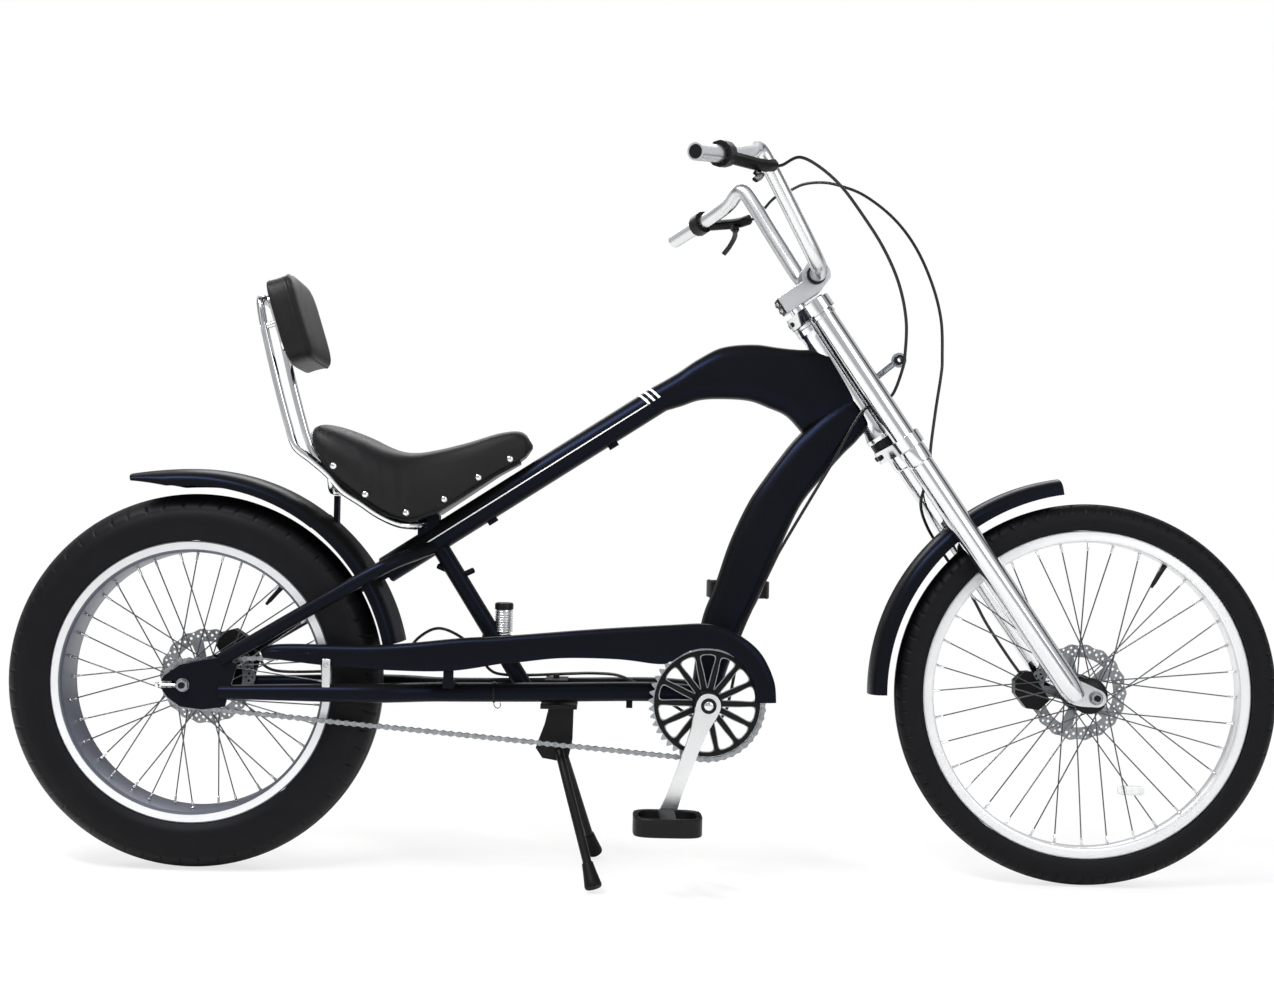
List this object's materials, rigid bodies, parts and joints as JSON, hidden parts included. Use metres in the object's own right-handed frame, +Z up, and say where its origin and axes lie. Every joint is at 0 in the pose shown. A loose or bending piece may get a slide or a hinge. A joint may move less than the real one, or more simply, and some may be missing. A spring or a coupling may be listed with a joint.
{
  "type": "chopper bicycle",
  "caption": "Long, low chopper bicycle with a raked twin-tube fork, tall bars, padded saddle and backrest, enclosed chain, disc brakes and a folding prop stand.",
  "frame": {"origin": "under the rear axle, on the ground, in the bike's middle plane", "axes": "+X forward, +Y to the rider's left, +Z up"},
  "size_m": [2.0424, 0.6974, 1.155],
  "materials": {
    "frame_paint": "satin black paint with a faint blue and violet sheen",
    "chrome": "bright chrome plate",
    "alloy": "polished",
    "dark_steel": "dark zinc plate",
    "tyre_rubber": "matt black rubber",
    "upholstery": "black leather",
    "black_plastic": "matt black"
  },
  "bodies": {
    "frame": {"head_tube": "chrome", "headset_lower": "chrome", "headset_upper": "chrome", "top_tube": "frame_paint", "head_gusset": "frame_paint", "down_tube": "frame_paint", "seat_tube": "frame_paint", "frame_rail_left": "frame_paint", "frame_rail_right": "frame_paint", "rail_bridge": "frame_paint", "seat_stay_left": "frame_paint", "seat_stay_right": "frame_paint", "dropout_left": "frame_paint", "dropout_right": "frame_paint", "bb_shell": "frame_paint", "stand_bracket": "dark_steel", "rear_axle": "dark_steel", "chain_guard": "frame_paint", "guard_strap": "frame_paint", "rear_fender": "frame_paint", "saddle": "upholstery", "saddle_pan": "dark_steel", "seat_bracket": "frame_paint", "sissy_bar": "chrome", "backrest_pad": "upholstery", "rear_caliper": "black_plastic", "rear_brake_cable": "black_plastic", "ribbed_cylinder": "chrome", "chain": "dark_steel"},
    "steering": {"lower_crown": "chrome", "upper_crown": "chrome", "fork_leg_left": "chrome", "fork_leg_right": "chrome", "stem": "alloy", "handlebar": "alloy", "brake_perch_left": "black_plastic", "brake_perch_right": "black_plastic", "front_fender": "frame_paint", "front_axle": "dark_steel", "front_caliper": "black_plastic", "lamp_bracket": "black_plastic", "front_brake_cable": "black_plastic"},
    "lever_left": {"brake_lever_left": "black_plastic"},
    "lever_right": {"brake_lever_right": "black_plastic"},
    "front_wheel": {"front_tyre": "tyre_rubber", "front_rim": "alloy", "front_hub": "chrome", "front_rotor": "dark_steel"},
    "rear_wheel": {"rear_tyre": "tyre_rubber", "rear_rim": "alloy", "rear_hub": "chrome", "rear_rotor": "dark_steel"},
    "sprocket": {"rear_sprocket": "dark_steel"},
    "crank": {"chainring": "black_plastic", "crank_left": "alloy", "crank_right": "alloy"},
    "pedal_l": {"pedal_left": "black_plastic"},
    "pedal_r": {"pedal_right": "black_plastic"},
    "side_stand": {"stand": "dark_steel"}
  },
  "joints": [
    {"name": "steering", "type": "hinge", "parent": "frame", "child": "steering", "pos_m": [1.09894, 0, 0.71438], "axis": [-0.5707, 0, 0.8212], "range_deg": [-45, 45], "deforming": ["rear_brake_cable"]},
    {"name": "front_wheel_spin", "type": "hinge", "parent": "steering", "child": "front_wheel", "pos_m": [1.432, 0, 0.307], "axis": [0, 1, 0], "continuous": true},
    {"name": "rear_wheel_spin", "type": "hinge", "parent": "frame", "child": "rear_wheel", "pos_m": [0, 0, 0.3], "axis": [0, 1, 0], "continuous": true},
    {"name": "crank_spin", "type": "hinge", "parent": "frame", "child": "crank", "pos_m": [0.819, 0, 0.286], "axis": [0, 1, 0], "continuous": true},
    {"name": "sprocket_spin", "type": "hinge", "parent": "frame", "child": "sprocket", "pos_m": [0, 0, 0.3], "axis": [0, 1, 0], "continuous": true},
    {"name": "pedal_spin_left", "type": "hinge", "parent": "crank", "child": "pedal_l", "pos_m": [0.88167, 0.155, 0.46006], "axis": [0, 1, 0], "continuous": true},
    {"name": "pedal_spin_right", "type": "hinge", "parent": "crank", "child": "pedal_r", "pos_m": [0.75633, -0.155, 0.11194], "axis": [0, 1, 0], "continuous": true},
    {"name": "brake_pull_left", "type": "hinge", "parent": "steering", "child": "lever_left", "pos_m": [0.868, 0.214, 1.087], "axis": [0.4723, 0.3318, 0.8166], "range_deg": [0, 14], "stiffness_Nm_per_rad": 2, "springref_deg": -8.59},
    {"name": "brake_pull_right", "type": "hinge", "parent": "steering", "child": "lever_right", "pos_m": [0.868, -0.214, 1.087], "axis": [-0.4723, 0.3318, -0.8166], "range_deg": [0, 14], "stiffness_Nm_per_rad": 2, "springref_deg": -8.59},
    {"name": "stand_fold", "type": "hinge", "parent": "frame", "child": "side_stand", "pos_m": [0.588, 0, 0.2], "axis": [0, 1, 0], "range_deg": [0, 95]}
  ],
  "couplings": [
    {"joint": "sprocket_spin", "follows": "crank_spin", "ratio": 2.4444}
  ]
}
